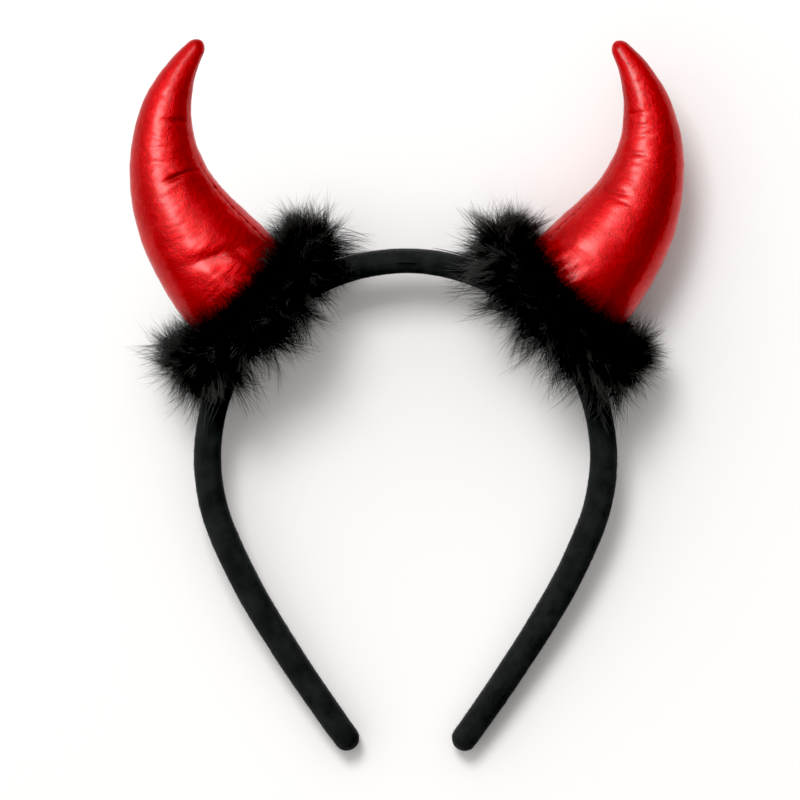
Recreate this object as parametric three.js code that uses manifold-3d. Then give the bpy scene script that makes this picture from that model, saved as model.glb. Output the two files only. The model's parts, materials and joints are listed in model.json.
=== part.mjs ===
// A devil horns headband, lying on a surface as it rests by itself: a padded velour hair band, two stuffed
// horns of foil-faced leathercloth seated on it, and a fluffy down trim wound round the foot of each horn.
// Millimetres and degrees. +X is across the band, +Y from its free ends to its crown, and +Z up.
import * as THREE from 'three';
import { mergeVertices } from 'three/addons/utils/BufferGeometryUtils.js';
import Module from 'manifold-3d';

const { degToRad, euclideanModulo, seededRandom, smoothstep } = THREE.MathUtils;

// Hair band: on each side its centreline is an arc from the crown past the ear, then two flatter arcs
const crownRadius = 59.4;
const crownSweep = 112;
const templeRadius = 170;
const templeSweep = 9;
const legRadius = 520;
const legSweep = 5.5;
const bandThickness = 8.2;
const bandDepth = 12;
const bandCorner = 3.5;
const bandStep = 8;

// Horns
const hornAngle = 45;
const hornLength = 96;
const hornBend = 85;
const hornBaseWidth = 36;
const hornBaseDepth = 29;
const hornTipRadius = 2.6;
const seamAngle = 24;
const seamDepth = 0.7;
const hornSpans = 38;
const hornSides = 20;

// Down trims
const trimRadius = 6.8;
const trimLift = -1;
const trimEndLift = 3.5;
const trimSpans = 24;
const trimSides = 8;
const lockReach = 8.4;
const lockRadius = 3.2;
const lockBend = 30;
const lockStations = 18;
const locksAround = 4;
const lowestLock = -85;
const lockFan = 155;

// Fit and lie
const clearance = 0.3;
const downUnderHorn = 5;

// In the tables, along and the columns beside it are shares of the named sizes. Round a horn, 0 degrees is the
// side that it curls to and 90 is the front. A crease is a dent across a horn, its depth a share of the horn's.
const bandSections = [
  { along: 0, thickness: 0.85, depth: 1 },
  { along: 0.3, thickness: 0.94, depth: 1 },
  { along: 0.6, thickness: 1, depth: 1 },
  { along: 0.85, thickness: 0.95, depth: 0.96 },
  { along: 1, thickness: 0.9, depth: 0.9 },
];
const hornSections = [
  { along: 0, bend: 0, width: 0.97, depth: 0.97 },
  { along: 0.2, bend: 0.05, width: 1, depth: 1 },
  { along: 0.3, bend: 0.08, width: 0.93, depth: 0.95 },
  { along: 0.4, bend: 0.17, width: 0.83, depth: 0.86 },
  { along: 0.5, bend: 0.29, width: 0.71, depth: 0.75 },
  { along: 0.6, bend: 0.42, width: 0.595, depth: 0.64 },
  { along: 0.7, bend: 0.57, width: 0.48, depth: 0.53 },
  { along: 0.8, bend: 0.72, width: 0.37, depth: 0.42 },
  { along: 0.9, bend: 0.86, width: 0.245, depth: 0.29 },
  { along: 1, bend: 1, width: 0.125, depth: 0.15 },
];
const horns = [
  {
    name: 'left',
    side: 1,
    lean: -1.5,
    creases: [
      { along: 0.27, length: 0.03, around: 85, spread: 42, slant: 0.02, depth: 0.05 },
      { along: 0.525, length: 0.02, around: 48, spread: 40, slant: -0.012, depth: 0.05 },
      { along: 0.725, length: 0.018, around: 40, spread: 44, slant: 0, depth: 0.03 },
    ],
  },
  {
    name: 'right',
    side: -1,
    lean: -0.4,
    creases: [
      { along: 0.475, length: 0.02, around: 55, spread: 40, slant: 0.012, depth: 0.045 },
      { along: 0.625, length: 0.02, around: 35, spread: 36, slant: 0, depth: 0.04 },
      { along: 0.755, length: 0.018, around: 45, spread: 36, slant: 0, depth: 0.022 },
    ],
  },
];
const lockSections = [
  { along: 0.2, radius: 0.9 },
  { along: 0.6, radius: 0.8 },
];
const roundEnd = [30, 55, 75];
const unevenness = { turn: 0.4, lean: 0.5, length: 0.35 };

const wasm = await Module();
wasm.setup();

// A closed body through a row of rings of as many points each, counterclockwise about the way the row runs.
// Two end points close it by fans of faces. Without them the row closes on itself.
function loft(rings, ends) {
  const across = rings[0].length;
  const points = rings.flat();
  const faces = [];
  for (let i = 0; i < rings.length - (ends ? 1 : 0); i++) {
    const near = i * across;
    const far = ((i + 1) % rings.length) * across;
    for (let j = 0; j < across; j++) {
      const k = (j + 1) % across;
      faces.push(near + j, near + k, far + k, near + j, far + k, far + j);
    }
  }
  if (ends) {
    const last = (rings.length - 1) * across;
    const first = points.push(...ends) - 2;
    for (let j = 0; j < across; j++) {
      const k = (j + 1) % across;
      faces.push(first, k, j, first + 1, last + j, last + k);
    }
  }
  return new THREE.BufferGeometry().setFromPoints(points).setIndex(faces);
}

function toSolid(geometry) {
  return new wasm.Manifold(
    new wasm.Mesh({
      numProp: 3,
      vertProperties: geometry.attributes.position.array,
      triVerts: new Uint32Array(geometry.index.array),
    }),
  );
}

// The largest body of a solid, as a geometry.
function toGeometry(solid) {
  const body = solid.decompose().reduce((a, b) => (a.volume() > b.volume() ? a : b));
  const mesh = body.getMesh();
  return new THREE.BufferGeometry()
    .setAttribute('position', new THREE.BufferAttribute(mesh.vertProperties, mesh.numProp))
    .setIndex(new THREE.BufferAttribute(mesh.triVerts, 1));
}

// Reads a column of a table at any share along it, smoothly between the rows.
function reader(table, column) {
  const curve = new THREE.CubicInterpolant(
    table.map((row) => row.along),
    table.map((row) => row[column]),
    1,
  );
  return (along) => curve.evaluate(along)[0];
}

const thicknessShare = reader(bandSections, 'thickness');
const depthShare = reader(bandSections, 'depth');
const bendShare = reader(hornSections, 'bend');
const hornWidthShare = reader(hornSections, 'width');
const hornDepthShare = reader(hornSections, 'depth');

const bandArcs = [
  { radius: crownRadius, sweep: crownSweep },
  { radius: templeRadius, sweep: templeSweep },
  { radius: legRadius, sweep: legSweep },
];
const halfBand = bandArcs.reduce((sum, arc) => sum + arc.radius * degToRad(arc.sweep), 0);

// A point of the band's centreline, a distance from the crown, and the direction there away from the head.
function bandAt(distance) {
  const away = (angle) => new THREE.Vector3(Math.sign(distance) * Math.sin(angle), Math.cos(angle), 0);
  const at = new THREE.Vector3(0, crownRadius, 0);
  let left = Math.abs(distance);
  let turned = 0;
  for (const { radius, sweep } of bandArcs) {
    const turn = Math.min(left / radius, degToRad(sweep));
    at.addScaledVector(away(turned + turn), radius).addScaledVector(away(turned), -radius);
    turned += turn;
    left -= turn * radius;
  }
  return { at, out: away(turned) };
}

// The band's section there, a rounded rectangle. shrink scales it and grow adds to it all round.
function bandRing(distance, shrink, grow) {
  const { at, out } = bandAt(distance);
  const along = Math.abs(distance) / halfBand;
  const halfOut = (bandThickness * thicknessShare(along) * shrink) / 2;
  const halfUp = (bandDepth * depthShare(along) * shrink) / 2;
  const corner = Math.min(bandCorner * shrink, halfOut, halfUp);
  const cornerSpans = 3;
  const ring = [];
  for (let quarter = 0; quarter < 4; quarter++) {
    const outward = quarter === 0 || quarter === 3 ? 1 : -1;
    const upward = quarter < 2 ? 1 : -1;
    for (let step = 0; step <= cornerSpans; step++) {
      const angle = degToRad(90 * (quarter + step / cornerSpans));
      const off = outward * (halfOut - corner) + (corner + grow) * Math.cos(angle);
      const up = upward * (halfUp - corner) + (corner + grow) * Math.sin(angle);
      ring.push(at.clone().addScaledVector(out, off).setZ(up));
    }
  }
  return ring;
}

// The padded band with its round free ends. An odd number of spans puts one flat span at the crown.
function bandGeometry(grow = 0) {
  const end = (bandThickness * thicknessShare(1)) / 2;
  const straight = halfBand - end;
  const spans = 2 * Math.ceil(straight / bandStep) + 1;
  const rings = [];
  for (let i = 0; i <= spans; i++) {
    rings.push(bandRing(straight * ((2 * i) / spans - 1), 1, grow));
  }
  for (const turn of roundEnd.map(degToRad)) {
    const reach = straight + end * Math.sin(turn);
    rings.unshift(bandRing(-reach, Math.cos(turn), grow));
    rings.push(bandRing(reach, Math.cos(turn), grow));
  }
  const tips = [-1, 1].map((side) => {
    const { at, out } = bandAt(side * halfBand);
    return at.addScaledVector(new THREE.Vector3(out.y, -out.x, 0), side * grow);
  });
  return loft(rings, tips);
}

// How far a horn's skin is pushed in, a share along the horn and an angle round it.
function dent(creases, along, angle) {
  let depth = 0;
  for (const crease of creases) {
    const turn = (euclideanModulo(angle - crease.around + 180, 360) - 180) / crease.spread;
    const off = (along - crease.along - crease.slant * turn) / crease.length;
    depth += crease.depth * hornBaseDepth * Math.exp(-off * off - turn * turn);
  }
  return depth;
}

// The way that a horn's middle line runs, a share along it, and the side that it curls to.
function hornHeading(along) {
  const angle = degToRad(hornBend * bendShare(along));
  return {
    onward: new THREE.Vector3(Math.sin(angle), Math.cos(angle), 0),
    inward: new THREE.Vector3(Math.cos(angle), -Math.sin(angle), 0),
  };
}

// A horn's section about a point, an oval with its dents and the groove of its seam.
function hornRing(creases, at, along, shrink, grow) {
  const { inward } = hornHeading(along);
  const halfWidth = (hornBaseWidth / 2) * hornWidthShare(along) * shrink;
  const halfDepth = (hornBaseDepth / 2) * hornDepthShare(along) * shrink;
  const groove = seamDepth * smoothstep(halfWidth, hornTipRadius, 2 * hornTipRadius);
  const ring = [];
  for (let j = 0; j < hornSides; j++) {
    const angle = seamAngle - (360 * j) / hornSides;
    const push = grow - dent(creases, along, angle) * shrink - (j === 0 ? groove : 0);
    const across = (halfWidth + push) * Math.cos(degToRad(angle));
    const up = (halfDepth + push) * Math.sin(degToRad(angle));
    ring.push(at.clone().addScaledVector(inward, across).setZ(up));
  }
  return ring;
}

// A stuffed horn that stands on the band at the top of its arc and curls to +X.
function hornGeometry(creases, grow = 0) {
  const tipShare = hornTipRadius / hornLength;
  const stations = [];
  for (let i = 0; i <= hornSpans; i++) {
    stations.push({ along: (i / hornSpans) * (1 - tipShare), shrink: 1 });
  }
  for (const turn of roundEnd.map(degToRad)) {
    stations.push({ along: 1 - tipShare + tipShare * Math.sin(turn), shrink: Math.cos(turn) });
  }
  const foot = new THREE.Vector3(0, crownRadius - grow, 0);
  const at = foot.clone();
  const rings = [];
  let before = 0;
  for (const { along, shrink } of stations) {
    at.addScaledVector(hornHeading((before + along) / 2).onward, hornLength * (along - before));
    rings.push(hornRing(creases, at, along, shrink, grow));
    before = along;
  }
  const tip = at.addScaledVector(hornHeading(1).onward, hornLength * (1 - before) + 2 * grow);
  return loft(rings, [foot, tip]);
}

const footShare = (crownRadius * degToRad(hornAngle)) / halfBand;
const bandOutside = crownRadius + (bandThickness * thicknessShare(footShare)) / 2;

// The oval that a trim is wound on, round a horn's foot: a point of it, the way on and the way out from it.
function trimAt(turn) {
  const reach = hornBaseWidth / 2 + trimRadius - clearance;
  const drop = hornBaseDepth / 2 + trimRadius - clearance;
  const cos = Math.cos(turn);
  const sin = Math.sin(turn);
  return {
    at: new THREE.Vector3(reach * cos, bandOutside + trimLift + trimEndLift * cos * cos, drop * sin),
    onward: new THREE.Vector3(-reach * sin, 0, drop * cos).normalize(),
    out: new THREE.Vector3(drop * cos, 0, reach * sin).normalize(),
  };
}

// Points round a centre, from one of two directions across to the other.
function circle(centre, radius, sides, from, to) {
  const ring = [];
  for (let j = 0; j < sides; j++) {
    const angle = (2 * Math.PI * j) / sides;
    ring.push(
      centre.clone()
        .addScaledVector(from, radius * Math.cos(angle))
        .addScaledVector(to, radius * Math.sin(angle)),
    );
  }
  return ring;
}

// A tapered lock of down that starts in the trim's backing and bends towards sweep.
function lockGeometry(root, direction, sweep, length) {
  const side = new THREE.Vector3().crossVectors(direction, sweep).normalize();
  const bent = (along) => direction.clone().applyAxisAngle(side, degToRad(lockBend * along));
  const rings = lockSections.map(({ along, radius }) => {
    const centre = root.clone().addScaledVector(bent(along / 2), length * along);
    const across = new THREE.Vector3().crossVectors(bent(along), side);
    return circle(centre, lockRadius * radius, 4, side, across);
  });
  return loft(rings, [root, root.clone().addScaledVector(bent(1), length)]);
}

// A trim before it is fitted: its wound backing with the uneven locks fused to it.
function trimSolid(seed) {
  const up = new THREE.Vector3(0, 1, 0);
  const rings = [];
  for (let i = 0; i < trimSpans; i++) {
    const { at, out } = trimAt((2 * Math.PI * i) / trimSpans);
    rings.push(circle(at, trimRadius, trimSides, out, up));
  }
  const parts = [toSolid(loft(rings))];
  for (let lock = 0; lock < lockStations * locksAround; lock++) {
    const row = lock % locksAround;
    const station = (lock - row) / locksAround + (row % 2) / 2;
    const shake = (salt) => seededRandom(seed + 10 * lock + salt) - 0.5;
    const turn = (2 * Math.PI * (station + unevenness.turn * shake(1))) / lockStations;
    const lean = degToRad(lowestLock + (lockFan * (row + 0.5 + unevenness.lean * shake(2))) / locksAround);
    const length = (trimRadius + lockReach) * (1 + unevenness.length * shake(5));
    const { at, onward, out } = trimAt(turn);
    const direction = out.multiplyScalar(Math.cos(lean)).addScaledVector(up, Math.sin(lean));
    const sweep = onward.multiplyScalar(Math.sign(shake(3))).addScaledVector(up, shake(4));
    parts.push(toSolid(lockGeometry(at, direction, sweep, length)));
  }
  return wasm.Manifold.union(parts);
}

// The lie: the free ends touch the surface, and the horns' feet stand off it by the down under them
const footHeight = hornBaseDepth / 2 + downUnderHorn;
const footY = bandOutside * Math.cos(degToRad(hornAngle));
const lieAngle = Math.atan2(footHeight - bandDepth / 2, footY - bandAt(halfBand).at.y);
const lie = new THREE.Matrix4().makeRotationX(lieAngle);
const lyingBand = bandGeometry().applyMatrix4(lie);
lyingBand.computeBoundingBox();
const surfaceZ = lyingBand.boundingBox.min.z;

// All that is under the surface, in the band's own frame.
function underSurface() {
  const size = 8 * crownRadius;
  const block = new THREE.BoxGeometry(size, size, size).deleteAttribute('normal').deleteAttribute('uv');
  return toSolid(mergeVertices(block.translate(0, 0, surfaceZ - size / 2).applyMatrix4(lie.clone().invert())));
}

const bandRoom = toSolid(bandGeometry(clearance));
const flattened = underSurface();
const velour = new THREE.MeshStandardMaterial({ color: 0x171918, roughness: 0.95, metalness: 0 });
const foilCloth = new THREE.MeshStandardMaterial({ color: 0xc4060e, roughness: 0.38, metalness: 0.6 });
const down = new THREE.MeshStandardMaterial({ color: 0x0b0b0b, roughness: 1, metalness: 0 });

function named(name, geometry, material) {
  geometry.computeVertexNormals();
  const mesh = new THREE.Mesh(geometry, material);
  mesh.name = name;
  return mesh;
}

// A horn and its trim, fitted to the band and to each other on the left side, in a group that mirrors the right.
function hornGroup({ name, side, lean, creases }, index) {
  const onBand = (geometry) =>
    geometry
      .translate(0, -crownRadius, 0)
      .rotateZ(degToRad(lean))
      .translate(0, crownRadius, 0)
      .rotateZ(degToRad(hornAngle));
  const horn = toSolid(onBand(hornGeometry(creases))).subtract(bandRoom);
  const hornRoom = toSolid(onBand(hornGeometry(creases, clearance)));
  const trim = trimSolid(1000 * index)
    .rotate([0, 0, hornAngle])
    .subtract(hornRoom)
    .subtract(bandRoom)
    .subtract(flattened);
  const group = new THREE.Group();
  group.add(named(`horn_${name}`, toGeometry(horn), foilCloth));
  group.add(named(`fur_trim_${name}`, toGeometry(trim), down));
  group.scale.x = side;
  return group;
}

const headpiece = new THREE.Group();
headpiece.add(named('headband', bandGeometry(), velour), ...horns.map(hornGroup));
headpiece.rotation.x = lieAngle;

// The origin is on the surface, under the middle of the whole.
const whole = new THREE.Box3().setFromObject(headpiece, true);
const middle = whole.getCenter(new THREE.Vector3());
headpiece.position.set(-middle.x, -middle.y, -whole.min.z);

export default headpiece;
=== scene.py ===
"""The looks of the devil horns headband: a velour hair band, stuffed foil-cloth horns and fluffy down trims.

It lies on a pale floor and is seen from straight above. Shapes are worked out in millimetres in the band's
own frame, with the middle of the band's crown arc as its origin, and put in place by the frame's head seat.
"""

import json
import math

import bpy
import numpy as np
from mathutils import Matrix, Vector, noise


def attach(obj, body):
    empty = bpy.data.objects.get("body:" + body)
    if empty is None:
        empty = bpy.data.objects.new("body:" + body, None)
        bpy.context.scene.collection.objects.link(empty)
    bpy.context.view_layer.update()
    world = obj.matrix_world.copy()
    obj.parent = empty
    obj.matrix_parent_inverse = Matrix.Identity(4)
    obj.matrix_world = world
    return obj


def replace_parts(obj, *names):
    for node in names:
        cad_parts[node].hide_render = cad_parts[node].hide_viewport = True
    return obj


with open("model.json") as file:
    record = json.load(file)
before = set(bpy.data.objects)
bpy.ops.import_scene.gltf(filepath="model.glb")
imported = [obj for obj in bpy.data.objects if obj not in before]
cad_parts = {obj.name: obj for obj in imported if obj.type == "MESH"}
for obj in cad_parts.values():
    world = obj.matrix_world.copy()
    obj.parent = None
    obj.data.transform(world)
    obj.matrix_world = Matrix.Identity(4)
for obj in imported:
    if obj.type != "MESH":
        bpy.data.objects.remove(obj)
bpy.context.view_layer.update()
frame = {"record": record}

MM = 0.001

# Hair band
BAND_ARCS = ((59.4, 112), (170, 9), (520, 5.5))
BAND_THICKNESS = 8.2
BAND_DEPTH = 12.0
BAND_CORNER = 3.5
BAND_SECTIONS = {
    "along": (0, 0.3, 0.6, 0.85, 1),
    "thickness": (0.85, 0.94, 1, 0.95, 0.9),
    "depth": (1, 1, 1, 0.96, 0.9),
}
PILE_LENGTH = 0.45
PILE_RADIUS = 0.07
PILE_COUNT = 13000

# Horns
HORN_ANGLE = 45
HORN_LENGTH = 96.0
HORN_BEND = 85
HORN_WIDTH = 36.0
HORN_DEPTH = 29.0
HORN_TIP = 2.6
FOOT_RINGS = (0.94, 0.86, 0.76, 0.64, 0.52, 0.4, 0.26, 0.12)
HORN_SECTIONS = {
    "along": (0, 0.2, 0.3, 0.4, 0.5, 0.6, 0.7, 0.8, 0.9, 1),
    "bend": (0, 0.05, 0.08, 0.17, 0.29, 0.42, 0.57, 0.72, 0.86, 1),
    "width": (0.97, 1, 0.93, 0.83, 0.71, 0.595, 0.48, 0.37, 0.245, 0.125),
    "depth": (0.97, 1, 0.95, 0.86, 0.75, 0.64, 0.53, 0.42, 0.29, 0.15),
}
# A wrinkle lies across a horn: its place along it, its half-length along it, the middle and half-width of its
# turn round the horn (0 is the side that the horn curls to, 90 the front), its slant and its depth.
WRINKLE_COLUMNS = ("along", "length", "around", "spread", "slant", "depth")
WRINKLES = {
    "left": (
        (0.262, 0.022, 84, 32, 0.035, 0.85),
        (0.35, 0.03, 100, 24, 0.01, 0.2),
        (0.545, 0.008, 77, 15, -0.005, 0.8),
        (0.549, 0.008, 55, 20, -0.003, 0.3),
        (0.6, 0.009, 104, 18, 0.004, 0.16),
        (0.643, 0.007, 98, 20, -0.003, 0.14),
        (0.675, 0.009, 106, 16, 0.004, 0.15),
        (0.731, 0.008, 66, 26, -0.002, 0.42),
        (0.8, 0.01, 100, 20, 0, 0.1),
        (0.86, 0.01, 95, 24, 0.004, 0.1),
    ),
    "right": (
        (0.25, 0.02, 66, 26, 0.02, 0.3),
        (0.35, 0.03, 76, 26, 0, 0.2),
        (0.456, 0.008, 70, 18, 0.006, 0.25),
        (0.476, 0.014, 55, 20, 0.008, 0.6),
        (0.6, 0.008, 78, 20, 0.003, 0.18),
        (0.626, 0.012, 64, 22, 0, 0.4),
        (0.69, 0.008, 80, 20, 0.003, 0.16),
        (0.72, 0.008, 72, 22, -0.003, 0.18),
        (0.762, 0.008, 60, 20, 0, 0.3),
        (0.86, 0.01, 82, 24, 0, 0.1),
    ),
}
# A gather runs up from a horn's foot: its turn round the horn at its end, where it ends along it, its depth,
# and how far it turns for each horn's length.
GATHER_COLUMNS = ("around", "end", "depth", "drift")
GATHERS = {
    "left": (
        (50, 0.23, 0.3, 0),
        (66, 0.27, 0.55, 60),
        (79, 0.22, 0.3, 130),
        (93, 0.26, 0.65, 110),
        (112, 0.2, 0.35, 60),
        (135, 0.2, 0.4, 0),
        (200, 0.2, 0.4, 0),
    ),
    "right": (
        (40, 0.23, 0.35, -40),
        (52, 0.27, 0.45, 70),
        (67, 0.23, 0.3, 140),
        (82, 0.24, 0.45, 90),
        (112, 0.2, 0.3, 0),
        (150, 0.2, 0.3, 0),
        (215, 0.2, 0.4, 0),
    ),
}
# In the photograph the left horn leaves no shadow on the floor
HORN_SIDES = {
    "left": {"mirror": 1, "lean": -1.5, "seam": 26, "seam_end": 0.62, "shadow": False, "seed": 9},
    "right": {"mirror": -1, "lean": -0.4, "seam": 25, "seam_end": 0.42, "shadow": True, "seed": 33},
}
SKIN_WRAP_GAP = 0.3
GATHER_HALF_WIDTH = 3.6
GATHER_FADE = 0.07
SEAM_DEPTH = 0.3
SEAM_WIDTH = 0.5
SEAM_RIDGE_HEIGHT = 0.03
SEAM_RIDGE_OFFSET = 1.35
SEAM_RIDGE_WIDTH = 0.75
STITCH_PITCH = 3.4
STITCH_LENGTH = 1.7
THREAD_RADIUS = 0.14

# Down trims
TRIM_RADIUS = 6.8
TRIM_LIFT = -1.0
TRIM_END_LIFT = 3.5
CORE_RADIUS = 6.0
CORE_FULLER_INSIDE = 1.8
GAP = 0.3
TUFT_COUNT = 390
PLUMES_IN_TUFT = 22
UNDERDOWN_COUNT = 17000
TUFT_REACH = (11.0, 18.5)
UNDERDOWN_REACH = (7.5, 15.0)
STRAND_RADIUS = 0.06
FOOT_SHARE_OF_DOWN = 0.3
FULLER_FACES = 0.25
SHORTER_ON_HORN = 0.3
LONGER_BELOW = 0.25
# Painted shade: how much darker strands are coloured on a trim's faces and on the horn's foot
PAINTED_SHADE_ON_FACES = 0.25
PAINTED_SHADE_ON_FOOT = 0.75

# Photograph's frame: millimetres to a pixel at the band, and the pixel of the crown arc's middle
PHOTO_SIZE = 800
PHOTO_SCALE = 0.30
PHOTO_ARC_MIDDLE = (405.5, 458.0)
CAMERA_HEIGHT = 6000.0
# The photograph prints shades of this brightness as black
DEEPEST_SHADE = 0.016
FLOOR_HALF = 3.0
# Soft boxes: where each stands and its size, in metres, its power in watts, its colour, and whether it gives
# gloss or else light and shadow.
LIGHT_COLUMNS = ("name", "place", "size", "power", "colour", "glossy")
LIGHTS = (
    ("key", (-0.66, 1.55, 3.0), 1.15, 68, (1, 1, 1), False),
    ("gloss", (-1.5, 0.46, 3.13), 1.25, 93, (0.6, 1, 0.97), True),
    ("gloss_above", (-0.57, 1.42, 3.15), 1.25, 26, (0.6, 1, 0.97), True),
)
# The surroundings' brightness from the dimmest side to the brightest, and the way to that one
SURROUND_LOW = 0.05
SURROUND_HIGH = 1.17
SURROUND_BRIGHTEST = (-0.42, 0.3, 0.85)


# Placing

seat = next(mount for mount in frame["record"]["mounts"] if mount["name"] == "head_seat")
SEAT_AXIS = Vector(seat["axis"])
LIE = math.atan2(-SEAT_AXIS.z, -SEAT_AXIS.y)
CROWN_INSIDE = BAND_ARCS[0][0] - BAND_THICKNESS * BAND_SECTIONS["thickness"][0] / 2
ARC_MIDDLE = Vector(seat["pos_m"]) / MM + SEAT_AXIS * CROWN_INSIDE
TO_FLOOR = np.array(Matrix.Rotation(LIE, 3, "X"))


def lying(points):
    """Points of the band's frame as the headband lies on the floor, in millimetres."""
    return points @ TO_FLOOR.T + np.array(ARC_MIDDLE)


def on_side(points, side):
    """Points of a horn's frame, which has the band's arc at its top, in the band's frame on that side."""
    turn = math.radians(HORN_ANGLE)
    rotated = points @ np.array(Matrix.Rotation(turn, 3, "Z")).T
    return rotated * np.array((HORN_SIDES[side]["mirror"], 1, 1))


def read(table, column, along):
    """A column of a table at any share along it, smoothly between the rows."""
    x = np.array(table["along"], float)
    y = np.array(table[column], float)
    slope = np.gradient(y, x)
    i = np.clip(np.searchsorted(x, along, side="right") - 1, 0, len(x) - 2)
    width = x[i + 1] - x[i]
    t = (along - x[i]) / width
    start = (1 + 2 * t) * (1 - t) ** 2 * y[i] + t * (1 - t) ** 2 * width * slope[i]
    return start + t * t * (3 - 2 * t) * y[i + 1] - t * t * (1 - t) * width * slope[i + 1]


def unit(vectors):
    """Vectors in the same directions, each of length one."""
    return vectors / np.maximum(np.linalg.norm(vectors, axis=-1, keepdims=True), 1e-9)


def smooth_noise(points, scale, seed):
    """Smooth noise, about -1 to 1, at points in millimetres, with features of about that scale."""
    shift = Vector((seed * 17.3, seed * 5.1, seed * 9.7))
    values = [noise.noise(Vector(p) + shift) for p in (points.reshape(-1, 3) / scale).tolist()]
    return np.array(values).reshape(points.shape[:-1])


# Making meshes

def make_piece(name, points, faces, material, skin=None, masks=None):
    """A piece that rides on the headband, from points in millimetres, each point's place on its skin, also in
    millimetres, and named masks. Where the skin wraps round, its corners are laid out past its edge."""
    mesh = bpy.data.meshes.new(name)
    mesh.from_pydata((points * MM).tolist(), [], faces)
    for mask, values in (masks or {}).items():
        shades = mesh.attributes.new(mask, "FLOAT", "POINT").data
        shades.foreach_set("value", values.astype(np.float32).ravel())
    if skin is not None:
        corners = np.empty(len(mesh.loops), np.int32)
        mesh.loops.foreach_get("vertex_index", corners)
        laid = skin.reshape(-1, 2)[corners].reshape(-1, 2)
        face_of = np.repeat(np.arange(len(mesh.polygons)), [len(face) for face in faces])
        furthest = np.full(len(mesh.polygons), -np.inf)
        np.maximum.at(furthest, face_of, laid[:, 0])
        turn = skin[..., 0].max() + SKIN_WRAP_GAP
        laid[:, 0] += np.where(furthest[face_of] - laid[:, 0] > turn / 2, turn, 0)
        layer = mesh.uv_layers.new(name="skin")
        layer.data.foreach_set("uv", laid.astype(np.float32).ravel())
    mesh.shade_smooth()
    mesh.materials.append(material)
    piece = bpy.data.objects.new(name, mesh)
    bpy.context.scene.collection.objects.link(piece)
    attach(piece, "root")
    return piece


def grid_faces(rows, columns, flip=False):
    """Quads of a tube of rows by columns points that closes round its columns."""
    i, j = np.meshgrid(np.arange(rows - 1), np.arange(columns), indexing="ij")
    k = (j + 1) % columns
    quads = np.stack((i * columns + j, i * columns + k, (i + 1) * columns + k, (i + 1) * columns + j), -1)
    quads = quads.reshape(-1, 4)
    return (quads[:, ::-1] if flip else quads).tolist()


def fan_faces(ring, point, flip=False):
    """Triangles from a ring of point numbers to one point."""
    after = ring[1:] + ring[:1]
    return [(b, a, point) if flip else (a, b, point) for a, b in zip(ring, after)]


def strand_mesh(paths, radii):
    """Three-sided tapered strands. paths is (strands, stations, 3), and each ends in a point at its last."""
    count, stations, _ = paths.shape
    onward = unit(np.gradient(paths, axis=1))
    helper = np.where(np.abs(onward[:, :1, 2:]) > 0.9, np.array((1.0, 0, 0)), np.array((0, 0, 1.0)))
    side = unit(np.cross(onward, helper))
    across = np.cross(onward, side)
    turns = np.radians((0, 120, 240))
    rings = (
        paths[:, :-1, None]
        + radii[:, :-1, None, None] * np.cos(turns)[:, None] * side[:, :-1, None]
        + radii[:, :-1, None, None] * np.sin(turns)[:, None] * across[:, :-1, None]
    )
    points = np.concatenate((rings.reshape(count, -1, 3), paths[:, -1:]), 1)
    tip = 3 * (stations - 1)
    pattern = [(2, 1, 0)]
    for row in range(stations - 2):
        for a, b in ((0, 1), (1, 2), (2, 0)):
            low, high = 3 * row, 3 * (row + 1)
            pattern += [(low + a, low + b, high + b), (low + a, high + b, high + a)]
    pattern += [(tip - 3 + a, tip - 3 + b, tip) for a, b in ((0, 1), (1, 2), (2, 0))]
    faces = np.array(pattern)[None] + (np.arange(count) * (tip + 1))[:, None, None]
    return points.reshape(-1, 3), faces.reshape(-1, 3).tolist()


# Materials

def new_material(name):
    """A material with its shader and its links."""
    material = bpy.data.materials.new(name)
    material.use_nodes = True
    return material, material.node_tree.nodes["Principled BSDF"], material.node_tree.links


def calculate(tree, operation, *values):
    """The result of a math node, fed by plain numbers and by other nodes' outputs."""
    node = tree.nodes.new("ShaderNodeMath")
    node.operation = operation
    for socket, value in zip(node.inputs, values):
        if isinstance(value, bpy.types.NodeSocket):
            tree.links.new(value, socket)
        else:
            socket.default_value = value
    return node.outputs[0]


def mottle(tree, place, size, detail, roughness):
    """Noise with features of about a size in millimetres, at a place in millimetres."""
    texture = tree.nodes.new("ShaderNodeTexNoise")
    texture.inputs["Detail"].default_value = detail
    texture.inputs["Roughness"].default_value = roughness
    tree.links.new(place, texture.inputs["Vector"])
    tree.links.new(calculate(tree, "DIVIDE", 1.0, size), texture.inputs["Scale"])
    return texture.outputs["Fac"]


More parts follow.
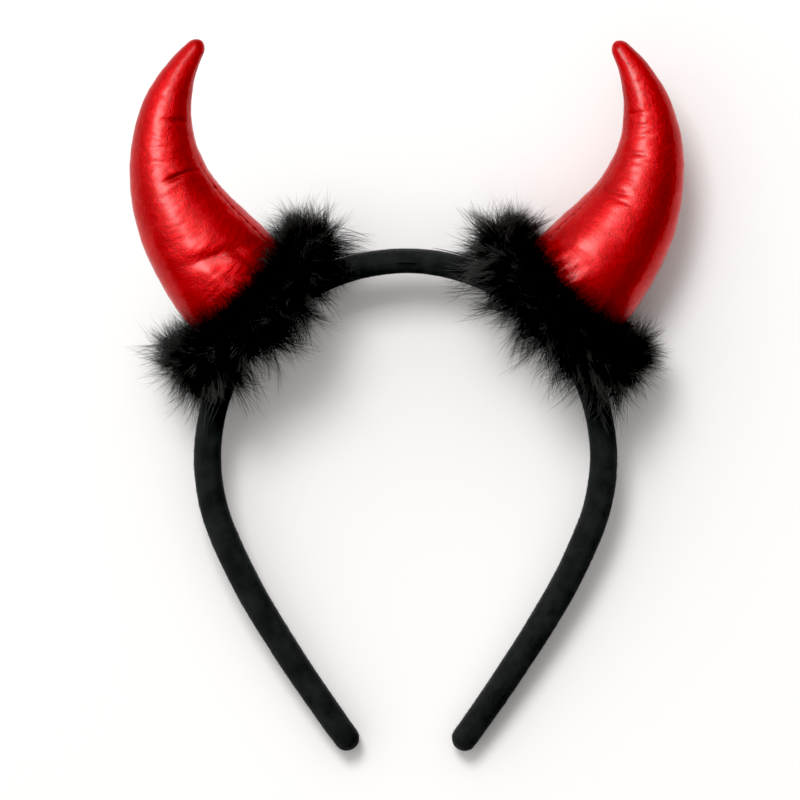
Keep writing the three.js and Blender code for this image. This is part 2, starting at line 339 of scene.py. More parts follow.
def soft_grain_group():
    """Fine surface grain shared by the cloths: a height for bump and a tone that wanders over the surface."""
    group = bpy.data.node_groups.new("soft_grain", "ShaderNodeTree")
    group.interface.new_socket("Place", in_out="INPUT", socket_type="NodeSocketVector")
    for name, value in (("Grain size", 0.5), ("Stretch", 1.0), ("Tone size", 12.0)):
        socket = group.interface.new_socket(name, in_out="INPUT", socket_type="NodeSocketFloat")
        socket.default_value = value
    for name in ("Height", "Tone"):
        group.interface.new_socket(name, in_out="OUTPUT", socket_type="NodeSocketFloat")
    given = group.nodes.new("NodeGroupInput").outputs
    result = group.nodes.new("NodeGroupOutput").inputs
    squeeze = group.nodes.new("ShaderNodeCombineXYZ")
    group.links.new(calculate(group, "DIVIDE", 1.0, given["Stretch"]), squeeze.inputs["X"])
    for axis in "YZ":
        squeeze.inputs[axis].default_value = 1.0
    stretched = group.nodes.new("ShaderNodeVectorMath")
    stretched.operation = "MULTIPLY"
    group.links.new(given["Place"], stretched.inputs[0])
    group.links.new(squeeze.outputs[0], stretched.inputs[1])
    fine = mottle(group, stretched.outputs[0], given["Grain size"], 2.0, 0.6)
    coarse_size = calculate(group, "MULTIPLY", given["Grain size"], 3.6)
    coarse = mottle(group, stretched.outputs[0], coarse_size, 3.0, 0.6)
    group.links.new(calculate(group, "MULTIPLY_ADD", coarse, 1.7, fine), result["Height"])
    group.links.new(mottle(group, given["Place"], given["Tone size"], 3.0, 0.5), result["Tone"])
    return group


SOFT_GRAIN = soft_grain_group()


def add_grain(material, place, size, stretch, tone_size, bump, depth):
    """Places the soft grain in a material and bumps its surface by it, in millimetres. Returns its tone."""
    nodes, links = material.node_tree.nodes, material.node_tree.links
    grain = nodes.new("ShaderNodeGroup")
    grain.node_tree = SOFT_GRAIN
    grain.inputs["Grain size"].default_value = size
    grain.inputs["Stretch"].default_value = stretch
    grain.inputs["Tone size"].default_value = tone_size
    links.new(place, grain.inputs["Place"])
    relief = nodes.new("ShaderNodeBump")
    relief.inputs["Strength"].default_value = bump
    relief.inputs["Distance"].default_value = depth * MM
    links.new(grain.outputs["Height"], relief.inputs["Height"])
    links.new(relief.outputs["Normal"], nodes["Principled BSDF"].inputs["Normal"])
    return grain.outputs["Tone"]


def millimetres(material, source):
    """The place on the surface in millimetres, from a UV map or from the object's own coordinates."""
    nodes, links = material.node_tree.nodes, material.node_tree.links
    if source != "Object":
        skin = nodes.new("ShaderNodeUVMap")
        skin.uv_map = source
        return skin.outputs["UV"]
    coordinates = nodes.new("ShaderNodeTexCoord")
    scale = nodes.new("ShaderNodeVectorMath")
    scale.operation = "SCALE"
    scale.inputs["Scale"].default_value = 1 / MM
    links.new(coordinates.outputs["Object"], scale.inputs[0])
    return scale.outputs[0]


def blend_colours(material, factor, low, high, first, second):
    """The colour that goes from a first one to a second as a factor goes from low to high."""
    nodes, links = material.node_tree.nodes, material.node_tree.links
    spread = nodes.new("ShaderNodeMapRange")
    spread.inputs["From Min"].default_value = low
    spread.inputs["From Max"].default_value = high
    links.new(factor, spread.inputs["Value"])
    mix = nodes.new("ShaderNodeMix")
    mix.data_type = "RGBA"
    links.new(spread.outputs["Result"], mix.inputs["Factor"])
    for socket, colour in ((mix.inputs[6], first), (mix.inputs[7], second)):
        if isinstance(colour, tuple):
            socket.default_value = (*colour, 1)
        else:
            links.new(colour, socket)
    return mix.outputs[2]


def mask(material, name):
    """The values that a mesh keeps under a mask's name."""
    attribute = material.node_tree.nodes.new("ShaderNodeAttribute")
    attribute.attribute_name = name
    return attribute.outputs["Fac"]


def foil_cloth():
    """Red foil-faced cloth: metallic, softly crinkled round the horn, with shade painted darker down in its
    seams and folds.
    """
    material, shader, links = new_material("foil_cloth")
    skin = millimetres(material, "skin")
    tone = add_grain(material, skin, size=0.42, stretch=1.8, tone_size=14, bump=0.95, depth=0.19)
    red = blend_colours(material, tone, 0.35, 0.65, (0.46, 0.001, 0.002), (0.55, 0.0016, 0.0034))
    # Painted shade: the cloth turns a deep dark red down in the wrinkles' valleys and the seams' grooves
    painted_shade = blend_colours(material, mask(material, "painted_shade"), 0, 1, red, (0.2, 0.0004, 0.0008))
    links.new(painted_shade, shader.inputs["Base Color"])
    shader.inputs["Metallic"].default_value = 0.85
    shader.inputs["Roughness"].default_value = 0.39
    shader.inputs["Specular IOR Level"].default_value = 0.5
    shader.inputs["Specular Tint"].default_value = (1, 0.45, 0.45, 1)
    shader.inputs["Coat Weight"].default_value = 0.7
    shader.inputs["Coat Roughness"].default_value = 0.28
    shader.inputs["Coat IOR"].default_value = 1.38
    return material


def seam_thread():
    """Dark red sewing thread, twisted and dull."""
    material, shader, links = new_material("seam_thread")
    place = millimetres(material, "Object")
    tone = add_grain(material, place, size=0.12, stretch=1, tone_size=1.5, bump=0.4, depth=0.04)
    red = blend_colours(material, tone, 0.3, 0.7, (0.18, 0.002, 0.003), (0.28, 0.003, 0.005))
    links.new(red, shader.inputs["Base Color"])
    shader.inputs["Roughness"].default_value = 0.7
    return material


def velour():
    """Matt black velour: a short pile that catches a little light at its edges, a shade lighter in places."""
    material, shader, links = new_material("velour")
    place = millimetres(material, "Object")
    tone = add_grain(material, place, size=0.22, stretch=1, tone_size=5, bump=0.5, depth=0.12)
    black = blend_colours(material, tone, 0.35, 0.65, (0.016, 0.0165, 0.0162), (0.022, 0.023, 0.0225))
    links.new(black, shader.inputs["Base Color"])
    shader.inputs["Roughness"].default_value = 0.95
    shader.inputs["Specular IOR Level"].default_value = 0.1
    shader.inputs["Sheen Weight"].default_value = 0.08
    shader.inputs["Sheen Roughness"].default_value = 0.5
    shader.inputs["Sheen Tint"].default_value = (0.6, 0.62, 0.62, 1)
    return material


def black_down():
    """Black down: deep black at its roots and a trace lighter towards its ends, with painted shade that keeps
    the trim's faces, the horn's foot and the wound core deeper black.
    """
    material, shader, links = new_material("black_down")
    # The tip mask carries the strands' lighter ends together with the painted shade
    tip = mask(material, "tip")
    black = blend_colours(material, tip, 0, 1, (0.014, 0.014, 0.014), (0.11, 0.108, 0.106))
    links.new(black, shader.inputs["Base Color"])
    shader.inputs["Roughness"].default_value = 0.9
    shader.inputs["Specular IOR Level"].default_value = 0.04
    return material


FOIL_CLOTH = foil_cloth()
SEAM_THREAD = seam_thread()
VELOUR = velour()
BLACK_DOWN = black_down()


# Camera

def photograph_camera():
    """Straight above, with the photograph's frame at the height of the band."""
    data = bpy.data.cameras.new("camera")
    camera = bpy.data.objects.new("camera", data)
    bpy.context.scene.collection.objects.link(camera)
    across = (PHOTO_SIZE / 2 - PHOTO_ARC_MIDDLE[0]) * PHOTO_SCALE
    up = (PHOTO_ARC_MIDDLE[1] - PHOTO_SIZE / 2) * PHOTO_SCALE
    camera.location = (ARC_MIDDLE + Vector((across, up, CAMERA_HEIGHT))) * MM
    data.sensor_width = 36
    data.lens = data.sensor_width * CAMERA_HEIGHT / (PHOTO_SIZE * PHOTO_SCALE)
    bpy.context.scene.camera = camera


photograph_camera()


# Hair band

HALF_BAND = sum(radius * math.radians(sweep) for radius, sweep in BAND_ARCS)


def band_line(distances):
    """Points of the band's middle line at distances from the crown, and the directions away from the head."""
    sign = np.sign(distances)
    left = np.abs(distances)
    turned = np.zeros_like(left)
    at = np.zeros((len(left), 2))
    at[:, 1] = BAND_ARCS[0][0]
    for radius, sweep in BAND_ARCS:
        turn = np.minimum(left / radius, math.radians(sweep))
        before = np.stack((np.sin(turned), np.cos(turned)), -1)
        turned = turned + turn
        at += radius * (np.stack((np.sin(turned), np.cos(turned)), -1) - before)
        left = left - turn * radius
    out = np.stack((np.sin(turned), np.cos(turned)), -1)
    mirror = np.stack((np.where(sign < 0, -1, 1), np.ones_like(sign)), -1)
    return at * mirror, out * mirror


def band_skin(rows, corner_columns, flat_columns):
    """The band's skin as rows of points, with their outward directions and the way round the section."""
    end = BAND_THICKNESS * BAND_SECTIONS["thickness"][-1] / 2
    straight = HALF_BAND - end
    caps = np.radians(np.linspace(8, 86, 12))
    reach = np.concatenate((-straight - end * np.sin(caps[::-1]), np.linspace(-straight, straight, rows),
                            straight + end * np.sin(caps)))
    shrink = np.concatenate((np.cos(caps[::-1]), np.ones(rows), np.cos(caps)))
    at, out = band_line(reach)
    along = np.abs(reach) / HALF_BAND
    half_out = BAND_THICKNESS * read(BAND_SECTIONS, "thickness", along) * shrink / 2
    half_up = BAND_DEPTH * read(BAND_SECTIONS, "depth", along) * shrink / 2
    corner = np.minimum(BAND_CORNER * shrink, np.minimum(half_out, half_up))
    offsets = []
    for quarter, (o, u) in enumerate(((1, 1), (-1, 1), (-1, -1), (1, -1))):
        turns = np.radians(90 * (quarter + np.linspace(0, 1, corner_columns)))
        arc = np.stack((o * (half_out - corner)[:, None] + corner[:, None] * np.cos(turns),
                        u * (half_up - corner)[:, None] + corner[:, None] * np.sin(turns)), -1)
        offsets.append(arc)
    section = []
    for k, arc in enumerate(offsets):
        section.append(arc)
        after = offsets[(k + 1) % 4][:, :1]
        share = np.linspace(0, 1, flat_columns + 2)[1:-1, None]
        section.append(arc[:, -1:] + share * (after - arc[:, -1:]))
    section = np.concatenate(section, 1)
    points = np.empty((len(reach), section.shape[1], 3))
    points[..., :2] = at[:, None] + out[:, None] * section[..., :1]
    points[..., 2] = section[..., 1]
    return points


def surface_directions(points):
    """Outward directions of a closed tube of points, from its neighbours along and round it."""
    along = np.gradient(points, axis=0)
    around = np.roll(points, -1, 1) - np.roll(points, 1, 1)
    return unit(np.cross(around, along))


def hair_band():
    """The padded band with its two rounded ends. Returns its skin with the outward directions."""
    points = band_skin(rows=520, corner_columns=7, flat_columns=4)
    outward = surface_directions(points)
    swell = 0.1 * smooth_noise(points, 9, 3) + 0.05 * smooth_noise(points, 2.4, 4)
    points = points + outward * swell[..., None]
    rows, columns, _ = points.shape
    ends = points[[0, -1]].mean(1)
    faces = grid_faces(rows, columns)
    first = list(range(columns))
    last = list(range((rows - 1) * columns, rows * columns))
    faces += fan_faces(first, rows * columns, flip=True) + fan_faces(last, rows * columns + 1)
    everything = lying(np.concatenate((points.reshape(-1, 3), ends)))
    everything[:, 2] = np.maximum(everything[:, 2], 0)
    piece = make_piece("headband_velour", everything, faces, VELOUR)
    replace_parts(piece, "headband")
    return points, outward


def velour_pile(skin, outward):
    """Single fibres of the velour's pile that stand off the band and soften its edges."""
    rng = np.random.default_rng(11)
    rows, columns, _ = skin.shape
    i = rng.integers(8, rows - 9, PILE_COUNT)
    j = rng.integers(0, columns, PILE_COUNT)
    share = rng.random((PILE_COUNT, 2, 1))
    root = skin[i, j] + share[:, 0] * (skin[i + 1, j] - skin[i, j])
    root += share[:, 1] * (skin[i, (j + 1) % columns] - skin[i, j])
    way = unit(outward[i, j] + 0.45 * rng.normal(size=(PILE_COUNT, 3)))
    length = PILE_LENGTH * rng.uniform(0.6, 1.15, (PILE_COUNT, 1))
    paths = np.stack((root - 0.15 * length * way, root + length * way), 1)
    radii = np.full((PILE_COUNT, 2), PILE_RADIUS)
    points, faces = strand_mesh(lying(paths), radii)
    points[:, 2] = np.maximum(points[:, 2], 0)
    make_piece("headband_pile", points, faces, VELOUR)


band_points, band_outward = hair_band()
velour_pile(band_points, band_outward)


# Horns

FINE_ALONG = np.linspace(0, 1, 801)
FINE_HEADING = np.radians(HORN_BEND * read(HORN_SECTIONS, "bend", FINE_ALONG))


def travelled(shares):
    """How far a horn's middle line has gone in a direction, from the share of each step that goes there."""
    steps = (shares[1:] + shares[:-1]) / 2 * HORN_LENGTH / (len(FINE_ALONG) - 1)
    return np.concatenate(((0,), np.cumsum(steps)))


FINE_ACROSS = travelled(np.sin(FINE_HEADING))
FINE_UP = travelled(np.cos(FINE_HEADING))
TIP_SHARE = HORN_TIP / HORN_LENGTH
CROWN_RADIUS = BAND_ARCS[0][0]
FOOT_SHARE = CROWN_RADIUS * math.radians(HORN_ANGLE) / HALF_BAND
FOOT_THICKNESS = BAND_THICKNESS * float(read(BAND_SECTIONS, "thickness", np.array(FOOT_SHARE)))
BAND_OUTSIDE = CROWN_RADIUS + FOOT_THICKNESS / 2


def horn_halves(along):
    """Half of a horn's width and of its depth, a share along it."""
    beyond = np.clip((along - 1 + TIP_SHARE) / TIP_SHARE, 0, 1)
    shrink = np.sqrt(1 - beyond**2)
    wide = HORN_WIDTH / 2 * read(HORN_SECTIONS, "width", along) * shrink
    deep = HORN_DEPTH / 2 * read(HORN_SECTIONS, "depth", along) * shrink
    return wide, deep


def horn_points(side, along, angle, push):
    """Points of a horn's skin in its own frame, pushed out by push."""
    heading = np.interp(along, FINE_ALONG, FINE_HEADING)
    wide, deep = horn_halves(along)
    across = (wide + push) * np.cos(np.radians(angle))
    x = np.interp(along, FINE_ALONG, FINE_ACROSS) + across * np.cos(heading)
    y = np.interp(along, FINE_ALONG, FINE_UP) - across * np.sin(heading)
    lean = math.radians(HORN_SIDES[side]["lean"])
    return np.stack((x * math.cos(lean) - y * math.sin(lean),
                     x * math.sin(lean) + y * math.cos(lean) + CROWN_RADIUS,
                     (deep + push) * np.sin(np.radians(angle))), -1)


def turn_between(angle, middle):
    """Degrees from a middle to an angle, the short way round."""
    return (angle - middle + 180) % 360 - 180


def wrinkle_push(side, along, angle):
    """How far wrinkles and gathers push a horn's skin out, in millimetres, and how much shade is painted in
    the wrinkles' valleys.
    """
    push = np.zeros_like(along)
    painted_shade = np.zeros_like(along)
    for row in WRINKLES[side]:
        w = dict(zip(WRINKLE_COLUMNS, row))
        turn = turn_between(angle, w["around"]) / w["spread"]
        off = (along - w["along"] - w["slant"] * turn) / w["length"]
        fade = np.exp(-turn * turn)
        valley = np.exp(-np.abs(off) ** 1.6)
        ridge = 0.6 * np.exp(-((off + 2.6) / 1.8) ** 2) + 0.6 * np.exp(-((off - 2.3) / 1.4) ** 2)
        push += w["depth"] * fade * (0.2 * ridge - valley)
        # Painted shade in the middle of the wrinkle's valley
        painted_shade = np.maximum(painted_shade, 0.5 * min(1, w["depth"]) * fade * np.exp(-(1.6 * off) ** 2))
    for row in GATHERS[side]:
        g = dict(zip(GATHER_COLUMNS, row))
        left = g["end"] - along
        turn = turn_between(angle, g["around"] - g["drift"] * left) / GATHER_HALF_WIDTH
        fade = g["depth"] * np.clip(left / GATHER_FADE, 0, 1)
        push += fade * (0.4 * np.exp(-((turn - 2) ** 2)) - np.exp(-turn * turn))
    return push, painted_shade


def seam_strength(side, along):
    """How much a horn's seams show: openly near the foot, drawn tight and nearly hidden towards the tip."""
    wide, deep = horn_halves(along)
    open_part = np.clip((HORN_SIDES[side]["seam_end"] - along) / 0.15, 0.3, 1)
    return np.clip((np.minimum(wide, deep) - 1.5) / 4, 0, 1) * open_part


def seam_push(side, along, angle, distance):
    """The two sewn seams of a horn: a groove with puckers at its stitches, between two soft ridges, and shade
    painted along the groove, darkest at the stitches.
    """
    wide, deep = horn_halves(along)
    seam = HORN_SIDES[side]["seam"]
    unevenness = np.sin(distance * 1.1) * np.sin(distance * 0.37 + seam)
    strength = seam_strength(side, along) * (0.75 + 0.25 * unevenness)
    push = np.zeros_like(along)
    painted_shade = np.zeros_like(along)
    for line in (seam, seam + 180):
        off = np.radians(turn_between(angle, line)) * (wide + deep) / 2
        dash = 0.5 + 0.5 * np.cos(2 * math.pi * distance / STITCH_PITCH)
        groove = np.exp(-((off / SEAM_WIDTH) ** 2))
        ridges = np.exp(-(((np.abs(off) - SEAM_RIDGE_OFFSET) / SEAM_RIDGE_WIDTH) ** 2))
        push -= strength * SEAM_DEPTH * (0.45 + 0.55 * dash) * groove
        push += strength * SEAM_RIDGE_HEIGHT * (1.2 - dash) * ridges
        # Painted shade along the groove, darkest at the stitches
        painted_shade = np.maximum(painted_shade, strength * groove * (0.1 + 0.75 * dash**4))
    return push, painted_shade


def horn_foot(across, deep):
    """How high a horn's foot starts: on the band, and lower down past the band's two faces."""
    seat_height = np.sqrt((BAND_OUTSIDE + GAP) ** 2 - across**2) - CROWN_RADIUS
    beyond = np.clip((np.abs(deep) - BAND_DEPTH / 2 - GAP) / 1.2, 0, 1)
    return seat_height * (1 - beyond * beyond * (3 - 2 * beyond))


def horn(side):
    """A stuffed horn with its wrinkles, gathers, seams and crinkle, closed over the band at its foot."""
    seam = HORN_SIDES[side]["seam"]
    near = np.linspace(-15, 15, 31)
    far = np.linspace(15, 165, 32)[1:-1]
    angles = seam - np.concatenate((near[15:], far, near + 180, far + 180, near[:15] + 360))
    body = np.linspace(0, 1 - TIP_SHARE, 226)
    cap = 1 - TIP_SHARE + TIP_SHARE * np.sin(np.radians(np.linspace(10, 86, 9)))
    stations = np.concatenate((body, cap))
    share, angle = np.meshgrid(stations, angles, indexing="ij")
    wide, deep = horn_halves(np.zeros(1))
    foot_x = wide * np.cos(np.radians(angles))
    foot_z = deep * np.sin(np.radians(angles))
    start = horn_foot(foot_x, foot_z) / HORN_LENGTH
    along = start + (1 - start) * share
    bare = horn_points(side, along, angle, np.zeros_like(along))
    push, painted_shade = wrinkle_push(side, along, angle)
    distance = along * HORN_LENGTH
    seam_out, seam_painted_shade = seam_push(side, along, angle, distance)
    calm = np.clip((1 - along) / 0.1, 0, 1)
    stretched = bare * np.array((1, 1, 0.55))
    seed = HORN_SIDES[side]["seed"]
    soft = 0.12 * smooth_noise(bare, 15, seed) + 0.13 * smooth_noise(stretched, 4.5, seed + 1)
    soft += 0.05 * smooth_noise(stretched, 1.9, seed + 2)
    around = np.radians(seam - angle) * (HORN_WIDTH + HORN_DEPTH) / 4
    grain = np.stack((around * 0.4, distance, np.zeros_like(around)), -1)
    soft += 0.045 * smooth_noise(grain, 1.1, seed + 3)
    soft += 0.08 * np.clip(1.2 - 2 * along, 0.1, 1) * smooth_noise(grain, 2.1, seed + 4)
    push = push * calm + seam_out + soft * (0.3 + 0.7 * calm)
    points = horn_points(side, along, angle, push)
    rows, columns, _ = points.shape
    tip = horn_points(side, np.ones(1), np.zeros(1), np.zeros(1))
    inner = []
    for shrink in FOOT_RINGS:
        ring = points[0] * shrink + points[0].mean(0) * (1 - shrink)
        ring[:, 1] = CROWN_RADIUS + horn_foot(ring[:, 0], ring[:, 2])
        inner.append(ring)
    everything = np.concatenate((np.array(inner[::-1]), points)).reshape(-1, 3)
    rows += len(inner)
    middle = inner[-1].mean(0, keepdims=True)
    mirrored = HORN_SIDES[side]["mirror"] < 0
    faces = grid_faces(rows, columns, flip=mirrored)
    faces += fan_faces(list(range(columns)), rows * columns, flip=not mirrored)
    faces += fan_faces(list(range((rows - 1) * columns, rows * columns)), rows * columns + 1, flip=mirrored)
    everything = np.concatenate((everything, middle, tip))
    skin = np.stack((around, distance), -1)
    skin = np.concatenate((np.repeat(skin[:1], len(inner), 0), skin)).reshape(-1, 2)
    skin = np.concatenate((skin, skin[:1], skin[-1:]))
    # Painted shade of the wrinkles and seams, kept on the mesh for the cloth's colour
    painted_shade_mask = np.maximum(painted_shade, seam_painted_shade)
    painted_shade_mask = np.concatenate((np.repeat(painted_shade_mask[:1], len(inner), 0), painted_shade_mask)).ravel()
    painted_shade_mask = np.concatenate((painted_shade_mask, (0, 0)))
    placed = lying(on_side(everything, side))
    piece = make_piece(f"horn_{side}_cloth", placed, faces, FOIL_CLOTH, skin, {"painted_shade": painted_shade_mask})
    piece.visible_shadow = HORN_SIDES[side]["shadow"]
    piece.visible_diffuse = HORN_SIDES[side]["shadow"]
    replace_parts(piece, f"horn_{side}")


def stitches(side):
    """The thread that shows from one needle hole to the next, down in the open part of the seams' grooves."""
    points = []
    faces = []
    sides = 6
    steps = np.linspace(-1, 1, 9)
    for line in (0, 180):
        angle = HORN_SIDES[side]["seam"] + line
        first_along = 0.16
        last_along = HORN_SIDES[side]["seam_end"] + 0.05
        pitches = HORN_LENGTH / STITCH_PITCH
        for number in range(int(first_along * pitches), int(last_along * pitches)):
            middle = number * STITCH_PITCH
            along = (middle + steps * STITCH_LENGTH / 2) / HORN_LENGTH
            dive = THREAD_RADIUS + 0.04 + 0.3 * steps**4
            path = horn_points(side, along, np.full(len(steps), float(angle)), -dive)
            onward = unit(np.gradient(path, axis=0))
            out = unit(np.cross(np.cross(onward, (0, 0, 1.0)), onward))
            across = np.cross(onward, out)
            radius = THREAD_RADIUS * np.sqrt(1.02 - steps**8)
            turns = np.radians(np.arange(sides) * 360 / sides)
            spokes = np.cos(turns)[:, None] * out[:, None] + np.sin(turns)[:, None] * across[:, None]
            ring = path[:, None] + radius[:, None, None] * spokes
            base = sum(len(p) for p in points)
            points.append(np.concatenate((ring.reshape(-1, 3), path[[0, -1]])))
            mirrored = HORN_SIDES[side]["mirror"] < 0
            tube = np.array(grid_faces(len(steps), sides, flip=mirrored)) + base
            first = [base + k for k in range(sides)]
            last = [base + (len(steps) - 1) * sides + k for k in range(sides)]
            ends = base + len(steps) * sides
            faces += tube.tolist() + fan_faces(first, ends, flip=not mirrored)
            faces += fan_faces(last, ends + 1, flip=mirrored)
    everything = lying(on_side(np.concatenate(points), side))
    make_piece(f"seam_stitches_{side}", everything, faces, SEAM_THREAD)


for horn_side in HORN_SIDES:
    horn(horn_side)
    stitches(horn_side)


# Down trims

def trim_oval(turn):
    """Points of the oval that a trim is wound on, round a horn's foot, and the ways on and out from it."""
    reach = HORN_WIDTH / 2 + TRIM_RADIUS - GAP
    drop = HORN_DEPTH / 2 + TRIM_RADIUS - GAP
    cos, sin = np.cos(turn), np.sin(turn)
    lift = BAND_OUTSIDE + TRIM_LIFT + TRIM_END_LIFT * cos * cos
    none = np.zeros_like(turn)
    at = np.stack((reach * cos, lift, drop * sin), -1)
    onward = unit(np.stack((-reach * sin, none, drop * cos), -1))
    out = unit(np.stack((drop * cos, none, reach * sin), -1))
    return at, onward, out


def clear_of_horn(points, side, room=0.25):
    """Moves points that would lie inside a horn out to its skin."""
    lean = math.radians(HORN_SIDES[side]["lean"])
    x = points[..., 0] * math.cos(lean) + (points[..., 1] - CROWN_RADIUS) * math.sin(lean)
    y = (points[..., 1] - CROWN_RADIUS) * math.cos(lean) - points[..., 0] * math.sin(lean)
    along = np.clip(np.interp(y, FINE_UP, FINE_ALONG), 0, 0.6)
    middle = np.interp(along, FINE_ALONG, FINE_ACROSS)
    wide, deep = horn_halves(along)
    away = np.hypot((x - middle) / (wide + room), points[..., 2] / (deep + room))
    grow = np.where((away < 1) & (y > 0), 1 / np.maximum(away, 0.05), 1)
    moved = points.copy()
    shift = (x - middle) * (grow - 1)
    moved[..., 0] += shift * math.cos(lean)
    moved[..., 1] += shift * math.sin(lean)
    moved[..., 2] *= grow
    return moved


def clear_of_band(points):
    """Moves points that would lie inside the band out to its outer side."""
    away = np.hypot(points[..., 0], points[..., 1])
    inside = BAND_OUTSIDE - BAND_THICKNESS
    in_band = (away > inside) & (away < BAND_OUTSIDE + 0.2) & (np.abs(points[..., 2]) < BAND_DEPTH / 2 + 0.2)
    grow = np.where(in_band, (BAND_OUTSIDE + 0.2) / away, 1)
    moved = points.copy()
    moved[..., :2] *= grow[..., None]
    return moved


def settled(paths, side, rng):
    """Strand paths clear of the horn and the band, and lying on the floor where they meet it."""
    clear = clear_of_band(clear_of_horn(paths, side))
    placed = lying(on_side(clear, side))
    bed = 0.15 + 0.5 * rng.random(placed.shape[:-1])
    placed[..., 2] = np.maximum(placed[..., 2], bed)
    return placed


def tuft_directions(count, rng, low, high):
    """Starts and directions of down that stands all round a trim, with more of it up the horn's foot, and how
    far each stands on the horn's front or back, and how far it rises."""
    turn = rng.uniform(0, 2 * math.pi, count)
    at, onward, out = trim_oval(turn)
    lean = rng.uniform(low, high, (count, 1))
    on_foot = rng.random((count, 1)) < FOOT_SHARE_OF_DOWN
    lean = np.radians(np.where(on_foot, rng.normal(68, 8, (count, 1)), lean))
    up = np.array((0, 1.0, 0))
    way = out * np.cos(lean) + up * np.sin(lean) + onward * rng.normal(0, 0.28, (count, 1))
    return at, unit(way), np.sin(turn)[:, None] ** 2, np.sin(lean)


def painted_shade_lightness(facing, rising):
    """How light strands are: painted shade makes them deeper black on a trim's faces, and most of all on the
    horn's foot.
    """
    return 1 - PAINTED_SHADE_ON_FACES * facing - PAINTED_SHADE_ON_FOOT * np.sqrt(facing) * np.clip(rising, 0, 1) ** 4


def end_lightness(stations):
    """How light a strand is at each of its points, most so at its very tip."""
    return np.concatenate((np.repeat(stations[:-1], 3), stations[-1:])) ** 2.2


def plumes(side, seed):
    """Long down in curved tufts, which narrow to a point where their strands come together."""
    rng = np.random.default_rng(seed)
    at, way, facing, rising = tuft_directions(TUFT_COUNT, rng, -115, 105)
    low, high = TUFT_REACH
    reach = low + (high - low) * rng.random((TUFT_COUNT, 1)) ** 1.6
    reach *= 1 - SHORTER_ON_HORN * facing * np.maximum(rising, 0) + LONGER_BELOW * np.maximum(-rising, 0)
    curl = unit(np.cross(way, rng.normal(size=(TUFT_COUNT, 3)))) * rng.uniform(0.3, 0.75, (TUFT_COUNT, 1))
    stations = np.array((0.3, 0.52, 0.72, 0.88, 1.0))
    shape = (TUFT_COUNT, PLUMES_IN_TUFT)
    length = reach[:, None] * rng.uniform(0.62, 1.05, (*shape, 1))
    spread = rng.normal(size=(*shape, 3)) * 2.2
    tip_spread = rng.normal(size=(*shape, 3)) * 0.6
    own_curl = curl[:, None] + rng.normal(size=(*shape, 3)) * 0.1
    paths = []
    for t in stations:
        bend = way[:, None] * t + own_curl * (t * t - 0.25 * t)
        paths.append(at[:, None] + length * bend + spread * (1 - t) + tip_spread * t)
    paths = np.stack(paths, 2).reshape(-1, len(stations), 3)
    count = len(paths)
    radii = STRAND_RADIUS * rng.uniform(0.7, 1.3, (count, 1)) * np.array((1.0, 1.0, 0.85, 0.6, 0))
    points, faces = strand_mesh(settled(paths, side, rng), radii)
    # Painted shade darkens the strands on the trim's faces and on the horn's foot
    tip_and_painted_shade = np.repeat(painted_shade_lightness(facing, rising), PLUMES_IN_TUFT, 0) * end_lightness(stations)
    return make_piece(f"down_plumes_{side}", points, faces, BLACK_DOWN, masks={"tip": tip_and_painted_shade})


def underdown(side, seed):
    """Short dense down on the wound core of a trim, which thins out into a haze of single strands."""
    rng = np.random.default_rng(seed)
    at, way, facing, rising = tuft_directions(UNDERDOWN_COUNT, rng, -150, 150)
    low, high = UNDERDOWN_REACH
    fuller = 1 + FULLER_FACES * facing * np.abs(rising)
    reach = (low + (high - low) * rng.random((UNDERDOWN_COUNT, 1)) ** 1.7) * fuller
    curl = np.cross(way, rng.normal(size=(UNDERDOWN_COUNT, 3))) * 0.35
    scatter = rng.normal(size=(UNDERDOWN_COUNT, 3)) * 0.9
    stations = np.array((0.4, 0.72, 1.0))
    paths = np.stack([at + scatter + reach * (way * t + curl * t * t) for t in stations], 1)
    thin = np.clip((high - reach / fuller) / (high - low), 0.25, 1)
    thin *= rng.uniform(0.8, 1.4, (UNDERDOWN_COUNT, 1))
    radii = STRAND_RADIUS * 1.5 * thin * np.array((1.0, 0.8, 0))
    points, faces = strand_mesh(settled(paths, side, rng), radii)
    # Painted shade darkens the strands on the trim's faces and on the horn's foot
    tip_and_painted_shade = (0.55 * painted_shade_lightness(facing, rising) * end_lightness(stations)).ravel()
    core_points, core_faces = trim_core(side)
    faces += (np.array(core_faces) + len(points)).tolist()
    points = np.concatenate((points, core_points))
    # Painted shade: the wound core gets the deepest black
    tip_and_painted_shade = np.concatenate((tip_and_painted_shade, np.zeros(len(core_points))))
    return make_piece(f"down_underdown_{side}", points, faces, BLACK_DOWN, masks={"tip": tip_and_painted_shade})


def trim_core(side):
    """The wound core that the down stands on, pressed against the horn's foot, as triangles."""
    turns = np.linspace(0, 2 * math.pi, 97)[:-1]
    at, _, out = trim_oval(turns)
    angles = np.linspace(0, 2 * math.pi, 19)[:-1]
    ring = out[:, None] * np.cos(angles)[:, None] + np.array((0, 1.0, 0)) * np.sin(angles)[:, None]
    reach = CORE_RADIUS + CORE_FULLER_INSIDE * np.maximum(-np.cos(angles), 0)
    points = at[:, None] + reach[:, None] * ring
    points = points + ring * (0.9 * smooth_noise(points, 3, 6))[..., None]
    placed = lying(on_side(clear_of_band(clear_of_horn(points, side, 0.05)), side))
    placed[..., 2] = np.maximum(placed[..., 2], 0.3)
    rows, columns = len(turns), len(angles)
    faces = []
    mirrored = HORN_SIDES[side]["mirror"] < 0
    for i in range(rows):
        for j in range(columns):
            a, b = i * columns + j, i * columns + (j + 1) % columns
            c, d = (i + 1) % rows * columns + (j + 1) % columns, (i + 1) % rows * columns + j
            faces += [(c, b, a), (d, c, a)] if mirrored else [(a, b, c), (a, c, d)]
    return placed.reshape(-1, 3), faces


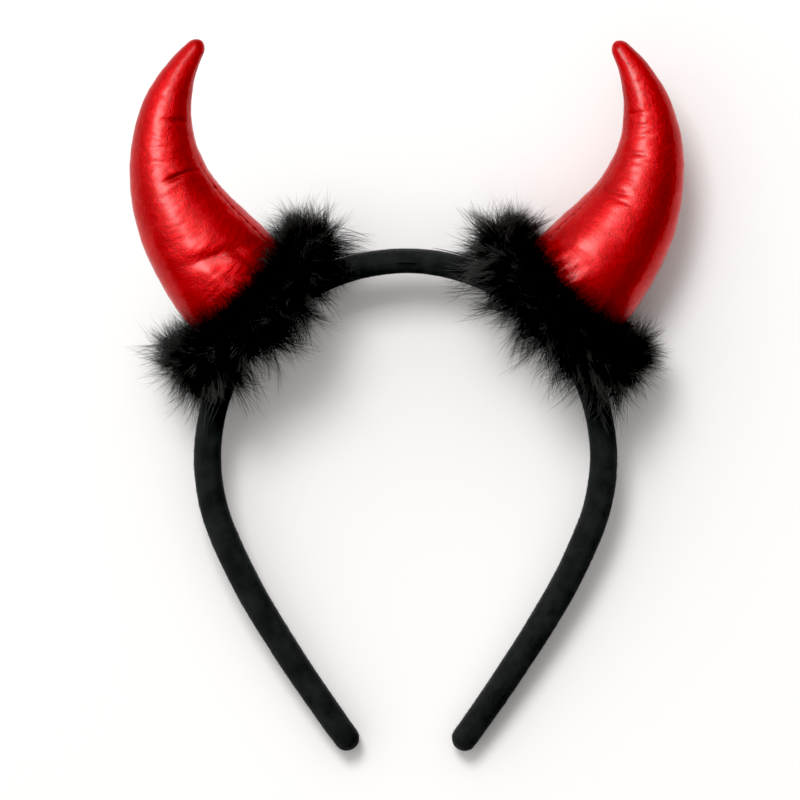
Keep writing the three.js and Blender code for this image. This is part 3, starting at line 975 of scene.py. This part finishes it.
for number, trim_side in enumerate(HORN_SIDES):
    trim = plumes(trim_side, 100 + number)
    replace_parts(trim, f"fur_trim_{trim_side}")
    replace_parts(underdown(trim_side, 200 + number), f"fur_trim_{trim_side}")


# Floor and light

def pale_floor():
    """The pale floor that the headband lies on."""
    mesh = bpy.data.meshes.new("floor")
    corners = [(x * FLOOR_HALF, y * FLOOR_HALF, 0) for x, y in ((-1, -1), (1, -1), (1, 1), (-1, 1))]
    mesh.from_pydata(corners, [], [(0, 1, 2, 3)])
    material, shader, _ = new_material("floor")
    shader.inputs["Base Color"].default_value = (0.875, 0.864, 0.856, 1)
    shader.inputs["Roughness"].default_value = 0.9
    shader.inputs["Specular IOR Level"].default_value = 0.1
    mesh.materials.append(material)
    floor = bpy.data.objects.new("floor", mesh)
    bpy.context.scene.collection.objects.link(floor)


def soft_box(name, place, size, power, colour, glossy):
    """A square soft box that faces the headband."""
    data = bpy.data.lights.new(name, "AREA")
    data.size = size
    data.energy = power
    data.color = colour
    light = bpy.data.objects.new(name, data)
    light.location = place
    light.rotation_euler = (-Vector(place)).to_track_quat("-Z", "Y").to_euler()
    light.visible_glossy = glossy
    light.visible_diffuse = not glossy
    bpy.context.scene.collection.objects.link(light)


def soft_surround():
    """White surroundings that are brightest overhead on the left and dim towards the floor on the right."""
    world = bpy.data.worlds.new("studio")
    world.use_nodes = True
    nodes, links = world.node_tree.nodes, world.node_tree.links
    background = nodes["Background"]
    background.inputs["Color"].default_value = (1, 0.99, 0.98, 1)
    way = nodes.new("ShaderNodeTexCoord")
    towards = nodes.new("ShaderNodeVectorMath")
    towards.operation = "DOT_PRODUCT"
    towards.inputs[1].default_value = Vector(SURROUND_BRIGHTEST).normalized()
    links.new(way.outputs["Generated"], towards.inputs[0])
    brightness = nodes.new("ShaderNodeMapRange")
    brightness.inputs["To Min"].default_value = SURROUND_LOW
    brightness.inputs["To Max"].default_value = SURROUND_HIGH
    links.new(towards.outputs["Value"], brightness.inputs["Value"])
    links.new(brightness.outputs["Result"], background.inputs["Strength"])
    bpy.context.scene.world = world


def studio():
    """The light, and the way that the photograph prints its deepest shades."""
    soft_surround()
    for row in LIGHTS:
        soft_box(**dict(zip(LIGHT_COLUMNS, row)))
    view = bpy.context.scene.view_settings
    view.view_transform = "Standard"
    view.look = "None"
    view.use_curve_mapping = True
    view.curve_mapping.black_level = (DEEPEST_SHADE,) * 3


pale_floor()
studio()
